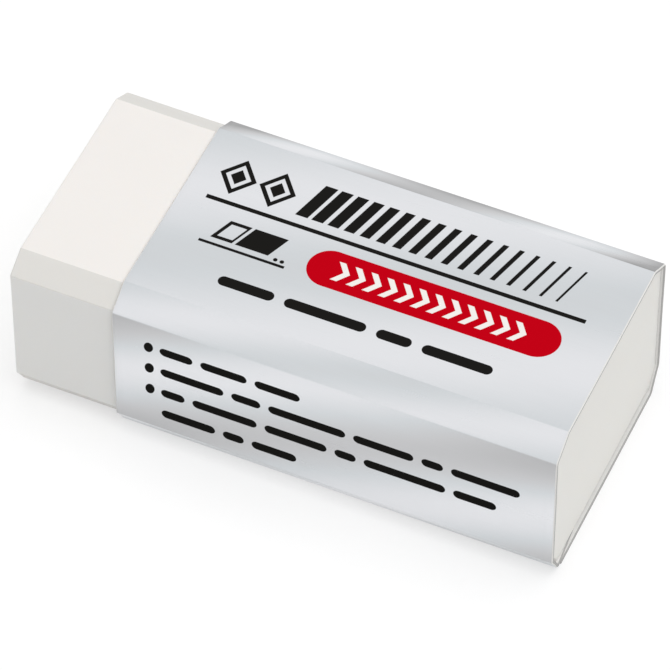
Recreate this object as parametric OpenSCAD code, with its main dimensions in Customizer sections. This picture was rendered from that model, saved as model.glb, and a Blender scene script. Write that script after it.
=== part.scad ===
/* [Block] */
// Length of the vinyl block
block_l = 41; // [36:0.5:60]
// Width of the block across its broad faces
block_w = 19; // [16:0.5:26]
// Height of the block
block_h = 13; // [10:0.5:18]
// Width of the two upper bevels, measured across the block
bevel_w = 1.8; // [1:0.1:3]
// Height of the two upper bevels
bevel_h = 1.1; // [0.8:0.1:2.5]
// Width of the two lower bevels, which are narrower and steeper
low_bevel_w = 0.9; // [0.6:0.1:2]
// Height of the two lower bevels
low_bevel_h = 1.5; // [0.8:0.1:2.5]
// Radius of the softened long edges
arris_r = 0.15; // [0.1:0.05:0.5]
// Radius of the softened edges round both ends
end_r = 0.2; // [0.1:0.05:0.5]

/* [Sleeve] */
// Length of the sleeve along the block
sleeve_l = 33.2; // [24:0.2:36]
// Thickness of the foil-faced card
card_t = 0.3; // [0.2:0.05:0.5]
// Sliding clearance between the block and the card on each side
slide_gap = 0.08; // [0.05:0.01:0.2]
// How far the end of the block sits back inside the sleeve
end_recess = 0.2; // [0:0.05:1]
// How far the glue flap under the block stops short of the lower far crease
flap_short = 4; // [0.5:0.1:8]
// How much the flap is trimmed back at each end of its free edge
flap_trim = 1.2; // [0.2:0.1:3]
// Distance from the lower near crease to the free cut edge of the outer panel
lap_inset = 0.35; // [0.1:0.05:1.5]

/* [Hidden] */
// Facets that stand for a true arc
arc_facets = 64;
// Narrow flats that a crease in the card is pressed into
crease_steps = 4;

// Inner face of the sheet, measured outwards from the centres of the arris arcs
sheet_in = arris_r + slide_gap;
// Outer face of the sheet, measured from the same centres
sheet_out = sheet_in + card_t;
// Height of the block's mid plane above the underside of the sleeve
mid_z = 2 * card_t + slide_gap + block_h / 2;
// End of the block that stays inside the sleeve
block_end_x = block_l / 2;
// The sleeve runs past that end by the recess
sleeve_end_x = block_end_x + end_recess;
sleeve_start_x = sleeve_end_x - sleeve_l;

// Corners of the block's section, anticlockwise from the lower near bevel, with the bottom moved down
function block_corners(drop) =
    let (hw = block_w / 2, hh = block_h / 2, draw = drop * low_bevel_w / low_bevel_h)
    [
        [-hw + low_bevel_w + draw, -hh - drop],
        [hw - low_bevel_w - draw, -hh - drop],
        [hw, -hh + low_bevel_h],
        [hw, hh - bevel_h],
        [hw - bevel_w, hh],
        [-hw + bevel_w, hh],
        [-hw, hh - bevel_h],
        [-hw, -hh + low_bevel_h]
    ];

// Unit vector that points inwards from the edge that starts at corner i
function inward(path, i) =
    let (n = len(path), d = path[(i + 1) % n] - path[i])
    [-d[1], d[0]] / norm(d);

// Corners moved inwards, so that every edge keeps its direction and moves by dist
function inset(path, dist) =
    let (n = len(path))
    [
        for (i = [0 : n - 1])
            let (a = inward(path, (i + n - 1) % n), b = inward(path, i))
            path[i] + dist * (a + b) / (1 + a * b)
    ];

// Outline of straight edges that lie dist outside the given arc centres
function straight_edges(centres, dist) =
    let (n = len(centres))
    [
        for (i = [0 : n - 1], side = [n - 1, 0])
            centres[i] - dist * inward(centres, (i + side) % n)
    ];

// Points of the arc of radius dist round one centre, from the edge before corner i to the edge after it
function crease_arc(centre, i, dist) =
    let (
        before = -inward(arris_centres, (i + 7) % 8),
        after = -inward(arris_centres, i),
        start = atan2(before[1], before[0]),
        turn = acos(before * after)
    )
    [
        for (k = [0 : crease_steps])
            let (a = start + turn * k / crease_steps)
            centre + dist * [cos(a), sin(a)]
    ];

// Centres of the arris arcs of the block, in the order of its corners
arris_centres = inset(block_corners(0), arris_r);
// The lower far crease lies further out along its bevel, where the last panel clears the glue flap
lap_shift = inset(block_corners(card_t), arris_r)[1] - arris_centres[1];
sheet_centres = [for (i = [0 : 7]) arris_centres[i] + (i == 1 ? lap_shift : [0, 0])];

// Faces of the two layers under the block, from its middle: inner face, glued face and outer face
flap_inner_z = -block_h / 2 - slide_gap;
glue_z = flap_inner_z - card_t;
panel_outer_z = glue_z - card_t;
// The glue flap's flat face runs from the lower near crease to its free edge
flap_root_y = arris_centres[0][0];
flap_edge_y = sheet_centres[1][0] - flap_short;
// The last panel comes back under it to its own free edge
panel_edge_y = flap_root_y + lap_inset;

// Outline of one face of the sheet, dist outside the crease centres, with a step under the block
function sheet_face(dist, step) =
    concat(
        crease_arc(sheet_centres[0], 0, dist),
        step,
        [for (i = [1 : 7]) each crease_arc(sheet_centres[i], i, dist)]
    );

// The block's section: straight edges with a true arc at each corner
module block_section() {
    polygon(straight_edges(arris_centres, arris_r));
    for (c = arris_centres)
        translate(c)
            circle(r = arris_r, $fn = arc_facets);
}

// Carries a section drawn across the block along its length, from x0 to x1
module along_block(x0, x1) {
    translate([x0, 0, mid_z])
        rotate([90, 0, 90])
            linear_extrude(height = x1 - x0)
                children();
}

// Plan of the block behind one of its long faces: a rectangle that ends at the face with rounded corners
module face_plan(reach, back) {
    translate([-block_end_x, -back])
        square([block_l, back + reach - end_r]);
    translate([-block_end_x + end_r, -back])
        square([block_l - 2 * end_r, back + reach]);
    for (sx = [-1, 1])
        translate([sx * (block_end_x - end_r), reach - end_r])
            circle(r = end_r, $fn = arc_facets);
}

// Everything behind one long face, which lies reach away from the middle and is turned up from +Y
module softened_face(reach, turn) {
    depth = block_w + block_h;
    translate([0, 0, mid_z])
        rotate([turn, 0, 0])
            translate([0, 0, -depth])
                linear_extrude(height = 2 * depth)
                    face_plan(reach, depth);
}

// Distance from the middle of the block to the face of a bevel w wide and h high
function bevel_reach(w, h) = (block_w * h + block_h * w - 2 * w * h) / (2 * norm([w, h]));

// The white vinyl block: a bevelled bar whose long edges and end edges are softened
module eraser_block() {
    turn = atan2(bevel_w, bevel_h);
    reach = bevel_reach(bevel_w, bevel_h);
    low_turn = atan2(low_bevel_w, low_bevel_h);
    low_reach = bevel_reach(low_bevel_w, low_bevel_h);
    color([0.95, 0.94, 0.92])
        intersection() {
            along_block(-block_end_x, block_end_x)
                block_section();
            softened_face(block_w / 2, 0);
            softened_face(reach, turn);
            softened_face(block_h / 2, 90);
            softened_face(reach, 180 - turn);
            softened_face(block_w / 2, 180);
            softened_face(low_reach, 180 + low_turn);
            softened_face(block_h / 2, 270);
            softened_face(low_reach, -low_turn);
        }
}

// The sheet's section: a ring of eight creases whose last panel lies over its first, the glue flap
module sleeve_section() {
    panel_step = [[panel_edge_y, glue_z], [panel_edge_y, panel_outer_z]];
    flap_step = [[flap_edge_y, flap_inner_z], [flap_edge_y, glue_z]];
    difference() {
        polygon(sheet_face(sheet_out, panel_step));
        polygon(sheet_face(sheet_in, flap_step));
    }
}

// What is cut off one end of the glue flap, so that its end slants back towards its free edge
module flap_end_trim() {
    flap_w = flap_edge_y - flap_root_y;
    // The cut runs on past the free edge, half way to the crease beyond it
    cut_w = flap_w + flap_short / 2;
    translate([0, flap_root_y, mid_z + glue_z])
        linear_extrude(height = -glue_z)
            polygon([
                [-flap_trim, 0],
                [0, 0],
                [flap_trim * cut_w / flap_w, cut_w],
                [-flap_trim, cut_w]
            ]);
}

// The card sleeve: one sheet folded round the block and glued to itself
module card_sleeve() {
    color([0.80, 0.82, 0.84])
        difference() {
            along_block(sleeve_start_x, sleeve_end_x)
                sleeve_section();
            translate([sleeve_start_x, 0, 0])
                flap_end_trim();
            translate([sleeve_end_x, 0, 0])
                mirror([1, 0, 0])
                    flap_end_trim();
        }
}

eraser_block();
card_sleeve();
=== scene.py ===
"""Looks of a small white vinyl eraser in its sliding sleeve of foil-faced card.

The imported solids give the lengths, widths and places. Two pieces stand for them here: the block, a bar
with softened edges and faintly sunk faces, and the sleeve, one sheet folded at eight creases whose last
panel is glued over its first. Lengths are in metres in the same frame as the solids, and the print is
laid out in millimetres on the flat sheet.
"""

import logging
import math
from dataclasses import dataclass, field
from enum import IntEnum
from functools import reduce
from typing import Any, Sequence, Union

import bpy
import numpy as np
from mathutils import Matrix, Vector
from numpy.typing import NDArray


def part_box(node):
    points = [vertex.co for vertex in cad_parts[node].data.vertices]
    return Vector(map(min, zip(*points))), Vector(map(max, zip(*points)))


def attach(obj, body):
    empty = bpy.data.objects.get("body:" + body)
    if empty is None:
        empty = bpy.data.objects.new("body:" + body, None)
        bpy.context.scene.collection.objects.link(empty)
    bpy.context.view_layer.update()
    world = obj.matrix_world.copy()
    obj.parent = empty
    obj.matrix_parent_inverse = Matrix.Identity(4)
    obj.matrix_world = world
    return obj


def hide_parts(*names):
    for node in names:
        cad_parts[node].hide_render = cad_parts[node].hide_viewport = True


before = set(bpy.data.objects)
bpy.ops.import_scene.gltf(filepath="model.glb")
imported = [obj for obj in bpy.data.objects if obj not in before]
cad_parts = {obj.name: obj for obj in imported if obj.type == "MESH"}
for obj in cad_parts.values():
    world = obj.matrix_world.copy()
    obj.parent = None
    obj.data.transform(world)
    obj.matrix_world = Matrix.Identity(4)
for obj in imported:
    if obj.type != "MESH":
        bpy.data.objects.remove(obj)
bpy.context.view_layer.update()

Array = NDArray[np.float64]
Colour = tuple[float, float, float, float]
log = logging.getLogger("eraser")

MM = 0.001


class Arris(IntEnum):
    """Long edges of the bar, anticlockwise as seen from its covered end."""

    BOTTOM_NEAR = 0
    BOTTOM_FAR = 1
    LOWER_FAR = 2
    UPPER_FAR = 3
    TOP_FAR = 4
    TOP_NEAR = 5
    UPPER_NEAR = 6
    LOWER_NEAR = 7


class Panel(IntEnum):
    """Panels of the folded sheet, from its glue flap under the block to the panel that covers it."""

    FLAP = 0
    LOWER_NEAR_BEVEL = 1
    NEAR_SIDE = 2
    UPPER_NEAR_BEVEL = 3
    TOP = 4
    UPPER_FAR_BEVEL = 5
    FAR_SIDE = 6
    LOWER_FAR_BEVEL = 7
    BOTTOM = 8


class Val:
    """One output socket of a node tree, on which Python's operators add Math nodes."""

    def __init__(self, graph: "Graph", socket: bpy.types.NodeSocket) -> None:
        """Keeps the socket and the graph that it belongs to."""
        self.graph = graph
        self.socket = socket

    def __add__(self, other: "Number") -> "Val":
        """Sum."""
        return self.graph.math("ADD", self, other)

    __radd__ = __add__

    def __sub__(self, other: "Number") -> "Val":
        """Difference."""
        return self.graph.math("SUBTRACT", self, other)

    def __rsub__(self, other: "Number") -> "Val":
        """Difference, taken from a plain number."""
        return self.graph.math("SUBTRACT", other, self)

    def __mul__(self, other: "Number") -> "Val":
        """Product."""
        return self.graph.math("MULTIPLY", self, other)

    __rmul__ = __mul__

    def __truediv__(self, other: "Number") -> "Val":
        """Quotient."""
        return self.graph.math("DIVIDE", self, other)

    def __mod__(self, other: "Number") -> "Val":
        """Remainder, which stays positive left of zero."""
        return self.graph.math("FLOORED_MODULO", self, other)

    def __abs__(self) -> "Val":
        """Distance from zero."""
        return self.graph.math("ABSOLUTE", self)

    def __neg__(self) -> "Val":
        """Negative."""
        return self.graph.math("MULTIPLY", self, -1.0)

    def floor(self) -> "Val":
        """Whole number at or below."""
        return self.graph.math("FLOOR", self)

    def least(self, other: "Number") -> "Val":
        """The smaller of two values."""
        return self.graph.math("MINIMUM", self, other)

    def most(self, other: "Number") -> "Val":
        """The larger of two values."""
        return self.graph.math("MAXIMUM", self, other)

    def clamped(self) -> "Val":
        """The value held between 0 and 1."""
        return self.graph.math("ADD", self, 0.0, clamp=True)

    def hypot(self, other: "Val") -> "Val":
        """Length of the vector whose two parts are these."""
        return self.graph.math("SQRT", self * self + other * other)


Number = Union[Val, float]


def union(*shapes: Val) -> Val:
    """Signed distance to several shapes together: the least of theirs."""
    return reduce(Val.least, shapes)


def overlap(*shapes: Val) -> Val:
    """Signed distance to what several shapes share: the most of theirs."""
    return reduce(Val.most, shapes)


class Graph:
    """A node tree that is written as expressions."""

    def __init__(self, tree: bpy.types.NodeTree) -> None:
        """Empties the tree."""
        self.tree = tree
        tree.nodes.clear()

    def node(self, kind: str, settings: dict[str, Any], inputs: dict[Any, Any]) -> bpy.types.Node:
        """Adds one node.

        Args:
            kind: the node's type, such as ShaderNodeTexNoise.
            settings: its properties, which are set before its sockets.
            inputs: a value or a Val for each socket, by name or number.

        Returns:
            The new node.
        """
        made = self.tree.nodes.new(kind)
        for name, value in settings.items():
            setattr(made, name, value)
        for name, value in inputs.items():
            if isinstance(value, Val):
                self.tree.links.new(value.socket, made.inputs[name])
            else:
                made.inputs[name].default_value = value
        return made

    def out(self, node: bpy.types.Node, name: Union[str, int] = 0) -> Val:
        """One output of a node, as a Val."""
        return Val(self, node.outputs[name])

    def math(self, operation: str, *values: Number, clamp: bool = False) -> Val:
        """Adds a Math node.

        Args:
            operation: Blender's name for it, such as MULTIPLY.
            values: its one to three numbers or Vals.
            clamp: whether the result is held between 0 and 1.

        Returns:
            The result.
        """
        settings = {"operation": operation, "use_clamp": clamp}
        return self.out(self.node("ShaderNodeMath", settings, dict(enumerate(values))))

    def mix(self, share: Number, first: Union[Val, Colour], second: Union[Val, Colour]) -> Val:
        """Blends two colours.

        Args:
            share: 0 gives the first colour and 1 the second.
            first: a colour or a Val.
            second: a colour or a Val.

        Returns:
            The blended colour.
        """
        inputs = {"Factor": share, 6: first, 7: second}
        return self.out(self.node("ShaderNodeMix", {"data_type": "RGBA"}, inputs), 2)

    def ramp(self, level: Val, stops: Sequence[tuple[float, Colour]]) -> Val:
        """Runs through several colours, with an even blend between each two.

        Args:
            level: where on the run the colour is taken.
            stops: the level that each colour is for, from the lowest up.

        Returns:
            The colour at the level.
        """
        at, colour = stops[0]
        for next_at, next_colour in stops[1:]:
            share = ((level - at) / (next_at - at)).clamped()
            at, colour = next_at, self.mix(share, colour, next_colour)
        return colour

    def noise(self, grain: float, detail: float = 2.0, stretch: Sequence[float] = (1.0, 1.0, 1.0)) -> Val:
        """Smooth noise from 0 to 1 on the piece's own coordinates.

        Args:
            grain: size of its blotches in metres.
            detail: how many finer octaves are added.
            stretch: how much longer the blotches are along x, y and z.

        Returns:
            The noise.
        """
        place = self.out(self.node("ShaderNodeTexCoord", {}, {}), "Object")
        scale = tuple(1.0 / (grain * times) for times in stretch)
        turned = self.node("ShaderNodeMapping", {}, {"Vector": place, "Scale": scale})
        inputs = {"Vector": self.out(turned), "Scale": 1.0, "Detail": detail, "Roughness": 0.5}
        return self.out(self.node("ShaderNodeTexNoise", {}, inputs))

    def surface(self, inputs: dict[str, Any]) -> None:
        """Ends a material's tree with a Principled shader.

        Args:
            inputs: a value or a Val for each of the shader's sockets that is set.
        """
        shader = self.out(self.node("ShaderNodeBsdfPrincipled", {}, inputs))
        self.node("ShaderNodeOutputMaterial", {}, {"Surface": shader})

    def bump(self, height: Val, distance: float) -> Val:
        """Normal of a surface that is raised by height times distance in metres."""
        return self.out(self.node("ShaderNodeBump", {}, {"Height": height, "Distance": distance}))


def shaded(colour: Colour, share: float) -> Colour:
    """The same hue at a share of its brightness."""
    red, green, blue, alpha = colour
    return red * share, green * share, blue * share, alpha


def new_graph(name: str) -> tuple[bpy.types.Material, Graph]:
    """Makes a material with an empty tree.

    Args:
        name: the material's name.

    Returns:
        The material and its graph.
    """
    material = bpy.data.materials.new(name)
    material.use_nodes = True
    return material, Graph(material.node_tree)


@dataclass(frozen=True)
class VinylFinish:
    """White vinyl, moulded or sawn, in copies with painted light and shade: lighter sides and ends, darker
    bevels.
    """

    name: str
    colour: Colour = (0.885, 0.855, 0.825, 1.0)
    sawn: bool = False
    cloud_shade: float = 0.966
    gloss: float = 0.46
    dull: float = 0.60
    cloud: float = 6.0 * MM
    grain: float = 0.16 * MM
    saw_mark: float = 0.11 * MM
    relief: float = 0.003 * MM
    light_depth: float = 0.8 * MM

    def material(self) -> bpy.types.Material:
        """Vinyl with faint clouds in its colour and sheen, and a fine grain; a cut end has upright marks."""
        material, graph = new_graph(self.name)
        cloud = graph.noise(self.cloud, detail=3.0)
        speck = graph.noise(self.grain, detail=3.0)
        height = speck * 0.6 + cloud * 0.4
        if self.sawn:
            mark = graph.noise(self.saw_mark, detail=2.0, stretch=(1.0, 1.0, 60.0))
            height = height + mark * 1.6
            speck = speck * 0.5 + mark * 0.5
        pale = cloud * 0.7 + speck * 0.3
        graph.surface({
            "Base Color": graph.mix(pale, shaded(self.colour, self.cloud_shade), self.colour),
            "Roughness": self.gloss + (self.dull - self.gloss) * (speck * 0.5 + cloud * 0.5),
            "Normal": graph.bump(height, self.relief),
            "Specular IOR Level": 0.25,
            "Subsurface Weight": 0.12,
            "Subsurface Radius": (1.0, 0.85, 0.7),
            "Subsurface Scale": self.light_depth,
        })
        return material


@dataclass(frozen=True)
class CardFinish:
    """Bare board: white on both its faces, with a grey core that shows where it is cut; that grey is also
    painted shade along the cut edges.
    """

    name: str
    colour: Colour
    fibre: float = 0.09 * MM
    fibre_shade: float = 0.88
    relief: float = 0.01 * MM

    def material(self) -> bpy.types.Material:
        """Board with short fibres that lie mostly along the sheet."""
        material, graph = new_graph(self.name)
        fibre = graph.noise(self.fibre, detail=3.0, stretch=(5.0, 1.0, 1.0))
        graph.surface({
            "Base Color": graph.mix(fibre, shaded(self.colour, self.fibre_shade), self.colour),
            "Roughness": 0.9,
            "Normal": graph.bump(fibre, self.relief),
        })
        return material


@dataclass(frozen=True)
class PrintPlan:
    """What is printed on the foil: plain bars, diamonds, dots and one red capsule.

    x is in millimetres from the sleeve's open end, and y up from the middle line of the printed panel.
    """

    margin_x: float = 1.9
    rule_end_x: float = 30.5
    rule_y: float = 1.65
    rule_thick: float = 0.36

    diamond_x: float = 4.75
    diamond_gap: float = 3.0
    diamond_y: float = 4.1
    diamond_half_x: float = 1.4
    diamond_half_y: float = 1.7
    diamond_line: float = 0.33
    diamond_core: float = 0.62

    stripe_x: float = 8.6
    stripe_y: float = 4.2
    stripe_high: float = 3.3
    stripe_pitch: float = 1.2
    stripe_count: int = 17
    stripe_first: float = 0.47
    stripe_last: float = 0.09
    stripe_lean: float = 0.28

    block_x: float = 6.3
    block_y: float = -0.75
    block_half_x: float = 2.2
    block_half_y: float = 0.95
    block_lean: float = 0.4
    window_x: float = -1.32
    window_half_x: float = 0.58
    window_half_y: float = 0.66
    slit_x: float = -0.44
    slit_half: float = 0.12
    ground_drop: float = 0.55
    ground_half: float = 0.12
    ground_left: float = 3.2
    ground_right: float = 3.3
    crumb_x: float = 2.2
    crumb_radius: float = 0.16
    crumb_pitch: float = 0.5
    crumb_count: int = 2
    crumb_rise: float = 0.42

    capsule_start_x: float = 10.9
    capsule_end_x: float = 29.7
    capsule_y: float = -1.05
    capsule_high: float = 3.35
    arrow_start_x: float = 13.2
    arrow_pitch: float = 1.2
    arrow_count: int = 12
    arrow_thick: float = 0.5
    arrow_high: float = 1.75
    arrow_sweep: float = 0.75

    line_y: float = -5.05
    line_high: float = 0.86
    line_words: tuple[tuple[float, float], ...] = ((5.9, 10.1), (10.9, 17.0), (17.8, 20.4), (21.2, 26.4))

    bullet_x: float = 2.75
    bullet_radius: float = 0.355
    bullet_squeeze: float = 0.7
    bullet_lean: float = 0.25
    row_y: tuple[float, ...] = (3.1, 0.88, -1.34, -3.56)
    row_high: float = 0.8
    row_words: tuple[tuple[tuple[float, float], ...], ...] = (
        ((3.6, 6.1), (6.7, 10.2), (10.8, 14.2)),
        ((3.6, 8.4), (9.0, 11.2), (11.8, 17.6), (18.2, 22.7), (23.3, 24.9), (25.5, 30.6)),
        ((3.6, 5.4), (6.0, 10.9), (11.5, 16.2), (16.8, 18.4), (19.0, 25.1), (25.7, 28.9)),
        ((3.6, 7.7), (8.3, 9.9), (10.5, 13.9)),
    )

    def bar(self, at: Val, start: float, end: float) -> Val:
        """Signed distance along one line to the stretch from start to end."""
        return abs(at - (start + end) / 2) - (end - start) / 2

    def words(self, x: Val, y: Val, spans: Sequence[tuple[float, float]], high: float) -> Val:
        """A row of bars with round ends: the distance to the nearest bar's middle line, less its radius.

        Args:
            x: along the sleeve.
            y: up from the row's middle line.
            spans: where each bar starts and ends.
            high: the bars' height.

        Returns:
            The signed distance.
        """
        radius = high / 2
        along = union(*(self.bar(x, start + radius, end - radius) for start, end in spans))
        return along.most(0.0).hypot(y) - radius

    def diamonds(self, x: Val, y: Val) -> Val:
        """Two diamonds, each a ring round a solid middle: |x| / a + |y| / b less 1, scaled to a distance."""
        half_x, half_y = self.diamond_half_x, self.diamond_half_y
        across = abs(abs(x - self.diamond_x) - self.diamond_gap / 2)
        edge = (across / half_x + abs(y - self.diamond_y) / half_y - 1.0) * (
            half_x * half_y / math.hypot(half_x, half_y)
        )
        ring = edge.most(-(edge + self.diamond_line))
        return ring.least(edge + self.diamond_core)

    def stripes(self, x: Val, y: Val) -> Val:
        """Leaning stripes at an even pitch, each a little narrower than the one before it."""
        run = x - (y - self.stripe_y) * self.stripe_lean - self.stripe_x
        number = (run / self.stripe_pitch).floor()
        thinning = (self.stripe_first - self.stripe_last) / (self.stripe_count - 1)
        beside = abs(run - (number + 0.5) * self.stripe_pitch) - (self.stripe_first - number * thinning)
        length = self.stripe_pitch * self.stripe_count
        return overlap(beside, abs(y - self.stripe_y) - self.stripe_high / 2, self.bar(run, 0.0, length))

    def little_block(self, x: Val, y: Val) -> Val:
        """A leaning block with an open first part, a ground line under it and crumbs beside it."""
        up = y - self.block_y
        across = x - self.block_x - up * self.block_lean
        body = overlap(abs(across) - self.block_half_x, abs(up) - self.block_half_y)
        window = overlap(abs(across - self.window_x) - self.window_half_x, abs(up) - self.window_half_y)
        slit = abs(across - self.slit_x) - self.slit_half
        body = overlap(body, -window, -slit)
        ground_y = self.block_y - self.block_half_y - self.ground_drop
        left, right = self.block_x - self.ground_left, self.block_x + self.ground_right
        ground = overlap(self.bar(x, left, right), abs(y - ground_y) - self.ground_half)
        first = self.block_x + self.crumb_x
        step = (x - first) % self.crumb_pitch - self.crumb_pitch / 2
        crumb = step.hypot(y - ground_y - self.crumb_rise) - self.crumb_radius
        crumbs = overlap(crumb, self.bar(x, first, first + self.crumb_pitch * self.crumb_count))
        return union(body, ground, crumbs)

    def capsule(self, x: Val, y: Val) -> Val:
        """The red field: a bar with full round ends."""
        span = (self.capsule_start_x, self.capsule_end_x)
        return self.words(x, y - self.capsule_y, (span,), self.capsule_high)

    def arrows(self, x: Val, y: Val) -> Val:
        """A row of plain arrowheads inside the capsule, at an even pitch."""
        up = abs(y - self.capsule_y)
        run = x + up * self.arrow_sweep - self.arrow_start_x
        beside = abs(run % self.arrow_pitch - self.arrow_pitch / 2) - self.arrow_thick / 2
        length = self.arrow_pitch * self.arrow_count
        return overlap(beside, up - self.arrow_high / 2, self.bar(run, 0.0, length))

    def top_black(self, x: Val, y: Val) -> Val:
        """Everything black on the top panel."""
        along = self.bar(x, self.margin_x, self.rule_end_x)
        rule = overlap(along, abs(y - self.rule_y) - self.rule_thick / 2)
        line = self.words(x, y - self.line_y, self.line_words, self.line_high)
        return union(rule, self.diamonds(x, y), self.stripes(x, y), self.little_block(x, y), line)

    def side_black(self, x: Val, y: Val) -> Val:
        """Everything black on the near side: four rows of bars, with a round dot before the first three."""
        rows = [
            self.words(x, y - at, spans, self.row_high) for at, spans in zip(self.row_y, self.row_words)
        ]
        across = x - self.bullet_x
        nearest = union(*(abs(y - at - across * self.bullet_lean) for at in self.row_y[:3]))
        dots = across.hypot(nearest * self.bullet_squeeze) - self.bullet_radius
        return union(dots, *rows)


@dataclass(frozen=True)
class FoilFinish:
    """Satin silver foil on the card, printed in black and red, with the white board bare along both cuts.

    The sheen attribute is painted reflection: it says how bright the foil is at a place, from 0 or less for
    the first of its tones to 1 for the last, and the crease attribute how sharply it is folded there.
    """

    name: str
    length: float
    top_middle: float
    side_middle: float
    plan: PrintPlan = field(default_factory=PrintPlan)
    # Tones of the foil's painted reflection, from darkest to brightest.
    tones: tuple[tuple[float, Colour], ...] = (
        (0.0, (0.330, 0.330, 0.334, 1.0)),
        (0.52, (0.562, 0.565, 0.576, 1.0)),
        (0.755, (0.644, 0.670, 0.691, 1.0)),
        (1.0, (0.772, 0.780, 0.804, 1.0)),
    )
    black: Colour = (0.0125, 0.0120, 0.0110, 1.0)
    red: Colour = (0.530, 0.001, 0.008, 1.0)
    white: Colour = (0.880, 0.855, 0.820, 1.0)
    ink_edge: float = 0.025
    ink_spread: float = 0.03
    bare_edge: float = 0.05
    speck: float = 0.05 * MM
    haze: float = 2.4 * MM
    rolled: float = 0.07 * MM
    pebble: float = 0.22 * MM
    relief: float = 0.0035 * MM

    def inked(self, distance: Val) -> Val:
        """Turns a signed distance in millimetres into a mask whose edge is ink_edge wide."""
        return distance.graph.math("MULTIPLY_ADD", distance, -1.0 / self.ink_edge, 0.5, clamp=True)

    def material(self) -> bpy.types.Material:
        """Foil whose colour follows its sheen, a painted reflection, under matt inks that take its metal
        look away.
        """
        material, graph = new_graph(self.name)
        flat = graph.node("ShaderNodeUVMap", {"uv_map": CardSleeve.UV_MAP}, {})
        place = graph.node("ShaderNodeSeparateXYZ", {}, {0: graph.out(flat)})
        spread = (graph.noise(self.speck, detail=1.0) - 0.5) * self.ink_spread
        x = graph.out(place, "X") * CardSleeve.UV_SPAN / MM
        run = graph.out(place, "Y") * CardSleeve.UV_SPAN / MM
        top_y = run - self.top_middle / MM
        side_y = run - self.side_middle / MM
        black = self.inked(union(self.plan.top_black(x, top_y), self.plan.side_black(x, side_y)) + spread)
        red = self.inked(self.plan.capsule(x, top_y) + spread)
        from_end = x.least(self.length / MM - x)
        white = self.inked(self.plan.arrows(x, top_y).least(from_end - self.bare_edge) + spread)

        sheen = graph.out(graph.node("ShaderNodeAttribute", {"attribute_name": "sheen"}, {}), "Fac")
        crease = graph.out(graph.node("ShaderNodeAttribute", {"attribute_name": "crease"}, {}), "Fac")
        haze = graph.noise(self.haze, detail=3.0, stretch=(5.0, 1.0, 1.0))
        rolled = graph.noise(self.rolled, detail=2.0, stretch=(40.0, 1.0, 1.0))
        pebble = graph.noise(self.pebble, detail=2.0)
        # The foil's brightness is painted reflection, from the sheen attribute with a little random haze.
        bright = sheen + (haze - 0.5) * 0.10 + (rolled - 0.5) * 0.05 + crease * (pebble - 0.4) * 0.10
        foil = graph.ramp(bright, self.tones)
        colour = graph.mix(red, graph.mix(black, foil, self.black), self.red)
        ink = black.most(red).most(white)
        satin = 0.30 + (haze - 0.5) * 0.10 + (rolled - 0.5) * 0.08 + crease * 0.10
        graph.surface({
            "Base Color": graph.mix(white, colour, self.white),
            "Metallic": 1.0 - ink,
            "Roughness": (satin + ink * 0.3).clamped(),
            "Normal": graph.bump(pebble * 0.6 + rolled * 0.4 + haze * 1.5, self.relief),
            "Specular IOR Level": 0.0,
        })
        return material


def outward(points: Array) -> Array:
    """Unit normals of a closed outline's edges: the direction of each, turned right."""
    along = np.roll(points, -1, axis=0) - points
    normal = np.stack([along[:, 1], -along[:, 0]], axis=1)
    return normal / np.linalg.norm(normal, axis=1, keepdims=True)


def inset(points: Array, distance: float) -> Array:
    """Corners moved inwards, so that every edge keeps its direction and moves by distance.

    Each corner moves back along the sum of its two edge normals a and b, divided by 1 + a.b.

    Args:
        points: corners of a closed outline, anticlockwise.
        distance: how far the edges move.

    Returns:
        The new corners.
    """
    after = outward(points)
    before = np.roll(after, 1, axis=0)
    return points - distance * (before + after) / (1.0 + (before * after).sum(axis=1, keepdims=True))


@dataclass(frozen=True)
class BarSection:
    """The bar's eight-sided section in metres, round its own middle.

    Every face of the block and the sheet is a radius away from the centres of the softened long edges.
    """

    width: float
    height: float
    bevel_width: float = 1.8 * MM
    bevel_height: float = 1.1 * MM
    low_bevel_width: float = 0.9 * MM
    low_bevel_height: float = 1.5 * MM
    arris_radius: float = 0.15 * MM

    def centres(self, drop: float = 0.0) -> Array:
        """Centres of the arris arcs in the order of Arris, with the bottom moved down along its bevels.

        Args:
            drop: how far the bottom is moved down.

        Returns:
            Eight (y, z) points.
        """
        side, top = self.width / 2, self.height / 2
        flat, low_flat = side - self.bevel_width, side - self.low_bevel_width
        wall, low_wall = top - self.bevel_height, top - self.low_bevel_height
        low_flat -= drop * self.low_bevel_width / self.low_bevel_height
        corners = np.array([
            [-low_flat, -top - drop],
            [low_flat, -top - drop],
            [side, -low_wall],
            [side, wall],
            [flat, top],
            [-flat, top],
            [-side, wall],
            [-side, -low_wall],
        ])
        return inset(corners, self.arris_radius)


@dataclass(frozen=True)
class Trail:
    """Stations along a section: centre, way out, the flats before and after, and how far it has turned."""

    centre: Array
    normal: Array
    before: NDArray[np.int64]
    after: NDArray[np.int64]
    turned: Array

    def run(self, radius: float) -> Array:
        """Length along the face that lies radius outside the centres, from the first station."""
        face = self.centre + radius * self.normal
        steps = np.linalg.norm(np.diff(face, axis=0), axis=1)
        return np.concatenate([[0.0], np.cumsum(steps)])


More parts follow.
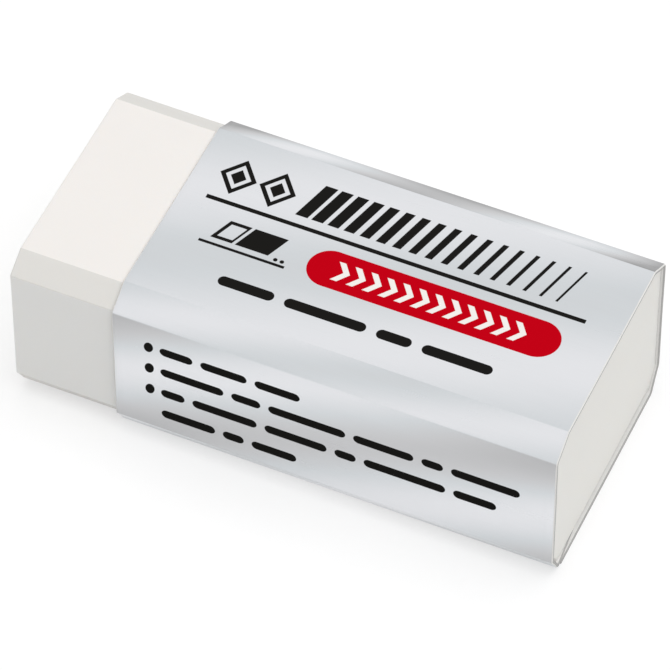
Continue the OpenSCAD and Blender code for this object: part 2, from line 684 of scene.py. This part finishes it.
def follow(points: Array, normals: Array, arc_steps: int, spacing: float) -> Trail:
    """Walks along flats and round the arcs between them.

    A flat goes evenly from one point to the next with one normal. At the point between two flats the
    normal turns evenly from the first flat's to the second's.

    Args:
        points: start, the arc centres in order, and end.
        normals: the outward normal of each flat.
        arc_steps: steps round each arc.
        spacing: the longest step along a flat.

    Returns:
        The stations.
    """
    centre, normal, before, after, turned = [], [], [], [], []
    for flat, way in enumerate(normals):
        start, end = points[flat], points[flat + 1]
        count = max(2, math.ceil(np.linalg.norm(end - start) / spacing) + 1)
        share = np.linspace(0.0, 1.0, count)[:, None]
        centre.append(start + share * (end - start))
        normal.append(np.tile(way, (count, 1)))
        before.append(np.full(count, flat))
        after.append(np.full(count, flat))
        turned.append(np.zeros(count))
        if flat + 1 == len(normals):
            break
        ahead = normals[flat + 1]
        turn = math.atan2(way[0] * ahead[1] - way[1] * ahead[0], way @ ahead)
        share = np.arange(1, arc_steps) / arc_steps
        angle = math.atan2(way[1], way[0]) + turn * share
        centre.append(np.tile(end, (arc_steps - 1, 1)))
        normal.append(np.stack([np.cos(angle), np.sin(angle)], axis=1))
        before.append(np.full(arc_steps - 1, flat))
        after.append(np.full(arc_steps - 1, flat + 1))
        turned.append(share)
    return Trail(*(np.concatenate(part) for part in (centre, normal, before, after, turned)))


def ripple(along: Array, across: Array, length: float, seed: int) -> Array:
    """Slow waves from 0 to 1: the mean of four sine products whose lengths and phases the seed sets.

    Args:
        along: distance along the piece.
        across: distance across it, of a shape that goes with along.
        length: about the length of one wave.
        seed: chooses the waves.

    Returns:
        The waves at each place.
    """
    draw = np.random.default_rng(seed)
    total = np.zeros(np.broadcast(along, across).shape)
    for _ in range(4):
        near, wide = draw.uniform(0.7, 1.6, 2) * length
        phase = draw.uniform(0.0, 2 * math.pi, 2)
        wave = np.sin(2 * math.pi * along / near + phase[0])
        total = total + wave * np.sin(2 * math.pi * across / wide + phase[1])
    return 0.5 + total / 8


def piece_from(name: str, points: Array, faces: Sequence[Sequence[int]]) -> bpy.types.Object:
    """Puts points and faces into a smooth-shaded mesh object at the origin.

    Args:
        name: the piece's name.
        points: its vertices, one (x, y, z) a row.
        faces: its faces, as lists of vertex numbers.

    Returns:
        The object, linked to the scene.
    """
    mesh = bpy.data.meshes.new(name)
    mesh.from_pydata(points.tolist(), [], faces)
    mesh.polygons.foreach_set("use_smooth", np.ones(len(mesh.polygons), bool))
    mesh.update()
    made = bpy.data.objects.new(name, mesh)
    bpy.context.scene.collection.objects.link(made)
    return made


def dress(piece: bpy.types.Object, materials: Sequence[bpy.types.Material], worn: NDArray[np.int32]) -> None:
    """Gives a piece its materials.

    Args:
        piece: the piece.
        materials: what it wears.
        worn: for each face, the number of its material.
    """
    for material in materials:
        piece.data.materials.append(material)
    piece.data.polygons.foreach_set("material_index", worn)
    piece.data.update()


@dataclass(frozen=True)
class EraserBlock:
    """The vinyl bar: one skin round the section, drawn in to a pole on each end."""

    SKIN, SIDE, BEVEL, CUT = range(4)
    FINISHES = (
        VinylFinish("vinyl_skin"),
        # Painted light: the sides are a lighter, more neutral copy of the skin.
        VinylFinish("vinyl_side", (0.894, 0.890, 0.868, 1.0)),
        # Painted shade: the bevels are a darker copy of the skin.
        VinylFinish("vinyl_bevel", (0.765, 0.750, 0.718, 1.0)),
        # The sawn ends: real saw marks, in a lighter, more neutral colour that is painted light.
        VinylFinish("vinyl_cut", (0.920, 0.909, 0.869, 1.0), sawn=True),
    )

    low: Vector
    high: Vector
    section: BarSection
    end_radius: float = 0.14 * MM
    arc_steps: int = 8
    spacing: float = 0.7 * MM
    end_steps: int = 7
    sink: float = 0.035 * MM
    wave: float = 11.0 * MM
    dish: float = 0.05 * MM
    sharpest: float = 0.004 * MM
    bevel_tilt: float = 0.25
    cap_rings: tuple[float, ...] = (0.05, 0.2, 0.36, 0.52, 0.68, 0.82, 0.93, 1.0)

    def ring(self) -> Trail:
        """Stations once round the section, from the middle of the top."""
        centres = self.section.centres()
        order = [*range(Arris.TOP_NEAR, len(centres)), *range(Arris.TOP_NEAR)]
        middle = (centres[Arris.TOP_FAR] + centres[Arris.TOP_NEAR]) / 2
        ways = outward(centres)
        normals = ways[[Arris.TOP_FAR, *order]]
        return follow(np.vstack([middle, centres[order], middle]), normals, self.arc_steps, self.spacing)

    def rows(self) -> tuple[Array, Array, Array]:
        """Rows from end to end: rings on one end, its rounded edge, the length, and the same mirrored.

        The rounded edge is a quarter circle: both its draw-in and its way along x go with 1 - sin and
        1 - cos of one angle.

        Returns:
            For each row its x, how far it is drawn in, and the share of the section that it keeps.
        """
        half = (self.high.x - self.low.x) / 2
        angle = np.linspace(0.0, math.pi / 2, self.end_steps)[1:]
        rings = np.array(self.cap_rings)
        length = np.linspace(-half + self.end_radius, 0.0, math.ceil(half / self.spacing))[1:]
        x = np.concatenate([
            -half + self.dish * (1.0 - rings**2),
            -half + self.end_radius * (1.0 - np.cos(angle)),
            length,
        ])
        drawn = np.concatenate([
            np.full(len(rings), self.end_radius),
            self.end_radius * (1.0 - np.sin(angle)),
            np.zeros(len(length)),
        ])
        kept = np.concatenate([rings, np.ones(len(angle) + len(length))])
        return (
            np.concatenate([x, -x[-2::-1]]),
            np.concatenate([drawn, drawn[-2::-1]]),
            np.concatenate([kept, kept[-2::-1]]),
        )

    def build(self) -> bpy.types.Object:
        """Makes the bar, with a pole at each end.

        (y, z) = kept * (centre + (radius - drawn - sunk) * normal).

        Returns:
            The finished piece.
        """
        ring = self.ring()
        x, drawn, kept = self.rows()
        centre, normal = ring.centre[:-1], ring.normal[:-1]
        run = ring.run(self.section.arris_radius)[:-1]
        sunk = self.sink * ripple(x[:, None], run[None, :], self.wave, seed=4)
        out = np.maximum(self.section.arris_radius - drawn[:, None] - sunk, self.sharpest)
        flat = kept[:, None, None] * (centre[None] + out[..., None] * normal[None])
        middle_x = (self.low.x + self.high.x) / 2
        middle_z = (self.low.z + self.high.z) / 2
        grid = np.empty((len(x), len(centre), 3))
        grid[..., 0] = middle_x + x[:, None]
        grid[..., 1] = flat[..., 0]
        grid[..., 2] = middle_z + flat[..., 1]
        poles = np.array([[middle_x + x[0], 0.0, middle_z], [middle_x + x[-1], 0.0, middle_z]])
        rows, columns = grid.shape[:2]
        number = np.arange(rows * columns).reshape(rows, columns)
        ahead = np.roll(number, -1, axis=1)
        skin = np.stack([number[:-1], ahead[:-1], ahead[1:], number[1:]], axis=-1).reshape(-1, 4)
        first = np.stack([np.full(columns, number.size), ahead[0], number[0]], axis=1)
        last = np.stack([np.full(columns, number.size + 1), number[-1], ahead[-1]], axis=1)
        faces = skin.tolist() + first.tolist() + last.tolist()
        made = piece_from("vinyl_block", np.vstack([grid.reshape(-1, 3), poles]), faces)
        on_cap = ((kept[:-1] < 1.0) | (kept[1:] < 1.0))[:, None]
        on_bevel = np.abs(normal[:, 0] * normal[:, 1]) > self.bevel_tilt
        on_side = np.abs(normal[:, 0]) > np.abs(normal[:, 1])
        # Painted light and shade by face: the sides are lighter and the bevels darker than the skin.
        around = np.where(on_bevel, self.BEVEL, np.where(on_side, self.SIDE, self.SKIN))
        # Both ends and their poles take the sawn finish with its painted light.
        worn = np.where(on_cap, self.CUT, around)
        worn = np.concatenate([worn.ravel(), np.full(2 * columns, self.CUT)]).astype(np.int32)
        dress(made, [finish.material() for finish in self.FINISHES], worn)
        return made


@dataclass(frozen=True)
class Sheen:
    """Slanting waves of painted reflection on one panel: their length, rise along x, bright place and depth.

    They are deeper towards the sleeve's ends, by a share that is given last.
    """

    length: float
    rise: float
    bright_at: float
    depth: float
    deepening: float = 0.0

    def level(self, x: Array, across: Array) -> Array:
        """Brightness 1 - depth * (1 + deepening * end) * (1 - wave) / 2.

        The wave is cos(2 pi (across - rise * x - bright_at) / length), and end goes from 0 midway along
        the sleeve to 1 at both of its ends.
        """
        wave = np.cos(2 * math.pi * (across - self.rise * x - self.bright_at) / self.length)
        end = (2.0 * x / x.max() - 1.0) ** 2
        return 1.0 - self.depth * (1.0 + self.deepening * end) * (1.0 - wave) / 2


@dataclass(frozen=True)
class CardSleeve:
    """The sleeve: one sheet that runs from its glue flap round the bar and back under the flap."""

    UV_MAP = "flat_sheet"
    UV_SPAN = 0.1
    FOIL, BOARD, CORE = range(3)
    BOARDS = (
        CardFinish("white_board", (0.88, 0.87, 0.85, 1.0)),
        CardFinish("grey_core", (0.49, 0.485, 0.475, 1.0)),
    )

    low: Vector
    high: Vector
    section: BarSection
    middle_z: float
    card: float
    slide_gap: float
    flap_short: float = 4.0 * MM
    flap_trim: float = 1.2 * MM
    lap_inset: float = 0.35 * MM
    cut_nick: float = 0.075 * MM
    glue_line: float = 0.012 * MM
    sink: float = 0.045 * MM
    wave: float = 9.0 * MM
    fold_width: float = 0.3 * MM
    fold_sharpness: float = 5.0
    rim_width: float = 0.35 * MM
    rim_shade: float = 0.45
    arc_steps: int = 10
    spacing: float = 0.7 * MM
    # The painted reflection on each Panel, in its order.
    sheens: tuple[Sheen, ...] = (
        Sheen(11.5 * MM, 0.30, 1.0 * MM, 0.3),
        Sheen(5.0 * MM, 0.22, 0.8 * MM, 0.35),
        Sheen(12.2 * MM, 0.378, -0.62 * MM, 0.50, 0.35),
        Sheen(5.1 * MM, 0.213, -1.09 * MM, 0.28),
        Sheen(13.44 * MM, 0.278, 1.95 * MM, 0.28),
        Sheen(11.0 * MM, 0.557, 7.35 * MM, 0.75, 0.75),
        Sheen(12.5 * MM, 0.34, -2.5 * MM, 0.35),
        Sheen(5.2 * MM, 0.24, -1.2 * MM, 0.35),
        Sheen(15.5 * MM, 0.30, -4.0 * MM, 0.25),
    )

    @property
    def inner(self) -> float:
        """Radius of the sheet's inner face round the arc centres."""
        return self.section.arris_radius + self.slide_gap

    @property
    def outer(self) -> float:
        """Radius of its outer face."""
        return self.inner + self.card

    def path(self) -> Trail:
        """Stations from the flap's free edge, clockwise from the covered end, to the outer free edge."""
        centres = self.section.centres()
        root = centres[Arris.BOTTOM_NEAR]
        lapped = self.section.centres(self.card)[Arris.BOTTOM_FAR]
        order = [
            Arris.BOTTOM_NEAR, Arris.LOWER_NEAR, Arris.UPPER_NEAR, Arris.TOP_NEAR,
            Arris.TOP_FAR, Arris.UPPER_FAR, Arris.LOWER_FAR,
        ]
        flap_edge = np.array([lapped[0] - self.flap_short, root[1]])
        outer_edge = np.array([root[0] + self.lap_inset, lapped[1]])
        points = np.vstack([flap_edge, centres[order], lapped, outer_edge])
        ways = outward(centres)[[*order, Arris.BOTTOM_FAR, Arris.BOTTOM_NEAR]]
        return follow(points, ways, self.arc_steps, self.spacing)

    def middles(self, trail: Trail, run: Array) -> Array:
        """Where the middle of each panel lies along the run.

        Args:
            trail: the sheet's stations.
            run: their length along the outer face.

        Returns:
            One length for each Panel.
        """
        flat = trail.before == trail.after
        return np.array([
            (run[flat & (trail.before == panel)].min() + run[flat & (trail.before == panel)].max()) / 2
            for panel in Panel
        ])

    def cut_edges(self, trail: Trail) -> Trail:
        """Adds a station a nick inside each free edge, so that the cut edges are softened like the ends."""
        centre = trail.centre
        ways = np.stack([centre[1] - centre[0], centre[-2] - centre[-1]])
        ways /= np.linalg.norm(ways, axis=1, keepdims=True)
        nicked = centre[[0, -1]] + self.cut_nick * ways
        last = len(centre) - 1
        return Trail(
            np.insert(centre, [1, last], nicked, axis=0),
            *(
                np.insert(part, [1, last], part[[0, -1]], axis=0)
                for part in (trail.normal, trail.before, trail.after, trail.turned)
            ),
        )

    def trim(self, trail: Trail) -> Array:
        """How far each station is cut back at both ends: only the flap's, more towards its free edge."""
        on_flap = (trail.before == Panel.FLAP) & (trail.after == Panel.FLAP)
        across = trail.centre[:, 0]
        root, edge = across[on_flap].min(), across[on_flap].max()
        return np.where(on_flap, self.flap_trim * (across - root) / (edge - root), 0.0)

    def slack(self, trail: Trail, run: Array) -> Array:
        """Share of the sink at each station: sin squared across each panel, and none on the glued layers."""
        share = np.zeros(len(run))
        for panel in range(Panel.LOWER_NEAR_BEVEL, Panel.BOTTOM):
            here = (trail.before == panel) & (trail.after == panel)
            part = run[here]
            share[here] = np.sin(math.pi * (part - part.min()) / np.ptp(part)) ** 2
        return share

    def sheen(self, trail: Trail, across: Array, x: Array) -> Array:
        """Painted reflection on the foil; at the middle of a crease one panel's soon fades into the next's.

        The crease between the upper far bevel and the far side is painted darker, a painted shade in a bell
        curve round it.

        Args:
            trail: the sheet's stations.
            across: for each Panel, each station's distance from that panel's middle.
            x: distance from the sleeve's open end.

        Returns:
            A level for each station and x: 1 where the foil is brightest, and 0 or less where it is darkest.
        """
        levels = np.stack([
            sheen.level(x[None, :], across[panel][:, None]) for panel, sheen in zip(Panel, self.sheens)
        ])
        station = np.arange(len(trail.centre))
        share = np.clip((trail.turned[:, None] - 0.5) * self.fold_sharpness + 0.5, 0.0, 1.0)
        share = np.where((trail.before == trail.after)[:, None], 0.0, share)
        level = levels[trail.before, station] * (1.0 - share) + levels[trail.after, station] * share
        # Painted shade along the far upper crease.
        beside = across[Panel.UPPER_FAR_BEVEL]
        turning = (trail.before == Panel.UPPER_FAR_BEVEL) & (trail.after == Panel.FAR_SIDE)
        rim = np.exp(-(((beside - beside[turning].mean()) / self.rim_width) ** 2))
        return level - self.rim_shade * rim[:, None]

    def build(self) -> bpy.types.Object:
        """Makes the sheet as one closed surface.

        A row goes round the sheet's thickness: along the outer face, over the cut end, back along the
        inner face and over the other cut end. (y, z) = centre + (radius - sunk) * normal.

        Returns:
            The finished piece.
        """
        trail = self.cut_edges(self.path())
        run = trail.run(self.outer)
        nick = self.cut_nick
        count = math.ceil((self.high.x - self.low.x) / self.spacing) + 1
        even = np.linspace(0.0, 1.0, count)
        share = np.concatenate([even, [1.0, 1.0], even[::-1], [0.0, 0.0]])
        beyond = np.concatenate([np.zeros(count), [1.0, 1.0], np.zeros(count), [-1.0, -1.0]])
        inside = np.concatenate([np.zeros(count + 1), np.ones(count + 2), [0.0]])
        trimmed = self.trim(trail)[:, None]
        start, end = self.low.x + trimmed + nick, self.high.x - trimmed - nick
        x = start + share * (end - start) + beyond * nick
        free = np.zeros(len(run))
        free[[0, -1]] = 1.0
        thinned = nick * np.maximum(np.abs(beyond)[None, :], free[:, None])
        glued = self.glue_line / 2
        outer = np.where(trail.before == Panel.FLAP, self.outer - glued, self.outer)[:, None]
        inner = np.where(trail.after == Panel.BOTTOM, self.inner + glued, self.inner)[:, None]
        radius = np.where(inside > 0, inner + thinned, outer - thinned)
        waves = ripple(x, run[:, None], self.wave, seed=11)
        radius = radius - self.sink * self.slack(trail, run)[:, None] * (0.3 + 0.7 * waves)
        grid = np.empty((*x.shape, 3))
        grid[..., 0] = x
        grid[..., 1:] = trail.centre[:, None] + radius[..., None] * trail.normal[:, None]
        grid[..., 2] += self.middle_z

        rows, columns = x.shape
        number = np.arange(rows * columns).reshape(rows, columns)
        ahead = np.roll(number, -1, axis=1)
        skin = np.stack([number[:-1], ahead[:-1], ahead[1:], number[1:]], axis=-1).reshape(-1, 4)
        over = np.concatenate([[columns - 1], np.arange(count + 1)])
        under = np.concatenate([[columns - 2], np.arange(count + 1)[::-1] + count + 1])
        last = np.stack([over[:-1], over[1:], under[1:], under[:-1]], axis=1)
        faces = np.concatenate([skin, last[:, ::-1], last + number[-1, 0]])
        made = piece_from("card_sheet", grid.reshape(-1, 3), faces.tolist())

        middles = self.middles(trail, run)
        self.lay_flat(made, x - self.low.x, np.broadcast_to(run[:, None], x.shape))
        # The sheen attribute carries the foil's painted reflection.
        self.mark(made, "sheen", self.sheen(trail, run - middles[:, None], x[len(run) // 2] - self.low.x))
        self.mark(made, "crease", np.broadcast_to(self.fold(trail, run)[:, None], x.shape))
        worn = np.full(columns, self.BOARD)
        worn[: count - 1] = self.FOIL
        # The cut faces wear the grey core, which is also painted shade along the cuts.
        worn[[count, count + 1, columns - 3, columns - 2]] = self.CORE
        worn = np.concatenate([np.tile(worn, rows - 1), np.full(2 * len(last), self.CORE)]).astype(np.int32)
        length = self.high.x - self.low.x
        foil = FoilFinish("silver_foil", length, middles[Panel.TOP], middles[Panel.NEAR_SIDE])
        dress(made, [finish.material() for finish in (foil, *self.BOARDS)], worn)
        return made

    def lay_flat(self, piece: bpy.types.Object, along: Array, across: Array) -> None:
        """Gives the piece the UV map of the flat sheet, which the print is laid out on.

        Args:
            piece: the sheet.
            along: for each vertex, its distance along the sleeve.
            across: for each vertex, its distance round the sheet.
        """
        flat = np.stack([along, across], axis=-1).reshape(-1, 2) / self.UV_SPAN
        corner = np.empty(len(piece.data.loops), np.int32)
        piece.data.loops.foreach_get("vertex_index", corner)
        layer = piece.data.uv_layers.new(name=self.UV_MAP)
        layer.uv.foreach_set("vector", flat[corner].astype(np.float32).ravel())

    def fold(self, trail: Trail, run: Array) -> Array:
        """How sharply the sheet is folded at each station: a bell curve round the middle of each crease."""
        turning = trail.before != trail.after
        places = np.array([
            run[turning & (trail.before == panel)].mean() for panel in range(Panel.BOTTOM)
        ])
        away = np.abs(run[:, None] - places[None, :]).min(axis=1)
        return np.exp(-((away / self.fold_width) ** 2))

    def mark(self, piece: bpy.types.Object, name: str, values: Array) -> None:
        """Keeps one number a vertex on the piece, under a name that its materials read."""
        attribute = piece.data.attributes.new(name, "FLOAT", "POINT")
        attribute.data.foreach_set("value", np.ascontiguousarray(values, np.float32).ravel())


@dataclass(frozen=True)
class Studio:
    """White floor, even soft light, and a camera at the photograph's angle."""

    middle: Vector
    azimuth: float = 23.995
    elevation: float = 49.602
    distance: float = 396.76 * MM
    aim: Vector = field(default_factory=lambda: Vector((0.425, -1.060, 0.0)) * MM)
    lens: float = 305.05
    sensor: float = 36.0
    floor_half: float = 3.0
    floor_shown: Colour = (0.42, 0.42, 0.42, 1.0)
    floor_glow: float = 0.59
    floor_lit: Colour = (0.92, 0.92, 0.92, 1.0)
    sky: float = 0.26
    key: float = 2.45
    key_from: tuple[float, float, float] = (0.17, -0.05, 0.975)
    key_spread: float = 70.0

    def seen(self, graph: Graph) -> Val:
        """1 for rays that show a thing, from the camera or by gloss or glass, and 0 for those that light."""
        path = graph.node("ShaderNodeLightPath", {}, {})
        camera, glossy, through = (
            graph.out(path, f"Is {kind} Ray") for kind in ("Camera", "Glossy", "Transmission")
        )
        return camera.most(glossy).most(through)

    def floor(self) -> bpy.types.Object:
        """A flat floor: white with a light shadow where it is seen, and pale grey in the light it gives."""
        half = self.floor_half
        corners = np.array([[-half, -half, 0.0], [half, -half, 0.0], [half, half, 0.0], [-half, half, 0.0]])
        made = piece_from("studio_floor", corners, [[0, 1, 2, 3]])
        material, graph = new_graph("studio_white")
        seen = self.seen(graph)
        glow = (self.floor_glow, self.floor_glow, self.floor_glow, 1.0)
        graph.surface({
            "Base Color": graph.mix(seen, self.floor_lit, self.floor_shown),
            "Roughness": 1.0,
            "Specular IOR Level": 0.0,
            "Emission Color": graph.mix(seen, (0.0, 0.0, 0.0, 1.0), glow),
            "Emission Strength": 1.0,
        })
        made.data.materials.append(material)
        return made

    def world(self) -> None:
        """Even light from all round, and plain white where the background is seen."""
        world = bpy.data.worlds.new("studio_world")
        world.use_nodes = True
        graph = Graph(world.node_tree)
        strength = self.seen(graph) * (1.0 - self.sky) + self.sky
        light = graph.node("ShaderNodeBackground", {}, {"Strength": strength, "Color": (1.0, 1.0, 1.0, 1.0)})
        graph.node("ShaderNodeOutputWorld", {}, {"Surface": graph.out(light)})
        bpy.context.scene.world = world

    def lamp(self) -> bpy.types.Object:
        """One broad soft lamp overhead, a little towards the covered end, that gloss doesn't show."""
        data = bpy.data.lights.new("soft_key", "SUN")
        data.energy = self.key
        data.angle = math.radians(self.key_spread)
        made = bpy.data.objects.new("soft_key", data)
        made.rotation_mode = "QUATERNION"
        made.rotation_quaternion = (-Vector(self.key_from)).to_track_quat("-Z", "Y")
        made.visible_glossy = False
        bpy.context.scene.collection.objects.link(made)
        return made

    def camera(self) -> bpy.types.Object:
        """A long lens that looks down on the near side and the covered end."""
        turn, rise = math.radians(self.azimuth), math.radians(self.elevation)
        back = Vector((math.sin(turn) * math.cos(rise), -math.cos(turn) * math.cos(rise), math.sin(rise)))
        data = bpy.data.cameras.new("photo_camera")
        data.lens = self.lens
        data.sensor_width = self.sensor
        data.clip_start = self.distance / 20
        data.clip_end = self.floor_half * 4
        made = bpy.data.objects.new("photo_camera", data)
        made.location = self.middle + self.aim + back * self.distance
        made.rotation_mode = "QUATERNION"
        made.rotation_quaternion = (-back).to_track_quat("-Z", "Y")
        bpy.context.scene.collection.objects.link(made)
        bpy.context.scene.camera = made
        return made

    def build(self) -> None:
        """Sets up the floor, the light, the camera and the plain view transform."""
        self.floor()
        self.world()
        self.lamp()
        self.camera()
        bpy.context.scene.view_settings.view_transform = "Standard"


def main() -> None:
    """Builds and dresses the block and the sleeve, and sets up the studio."""
    logging.basicConfig(level=logging.INFO, format="%(name)s: %(message)s")
    block_low, block_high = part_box("eraser_block")
    sleeve_low, sleeve_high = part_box("card_sleeve")
    middle = (block_low + block_high) / 2
    section = BarSection(block_high.y - block_low.y, block_high.z - block_low.z)
    beside = (sleeve_high.y - sleeve_low.y) - (block_high.y - block_low.y)
    over_and_under = (sleeve_high.z - sleeve_low.z) - (block_high.z - block_low.z)
    card = over_and_under - beside
    gap = beside / 2 - card
    log.info("block %.1f x %.1f x %.1f mm", *((block_high - block_low) / MM))
    log.info("card %.2f mm thick, clear of the block by %.2f mm", card / MM, gap / MM)

    block = EraserBlock(block_low, block_high, section).build()
    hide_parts("eraser_block")
    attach(block, "block")
    log.info("%s: %d faces", block.name, len(block.data.polygons))

    sleeve = CardSleeve(sleeve_low, sleeve_high, section, middle.z, card, gap).build()
    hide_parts("card_sleeve")
    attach(sleeve, "sleeve")
    log.info("%s: %d faces", sleeve.name, len(sleeve.data.polygons))

    Studio(middle).build()


if __name__ == "__main__":
    main()
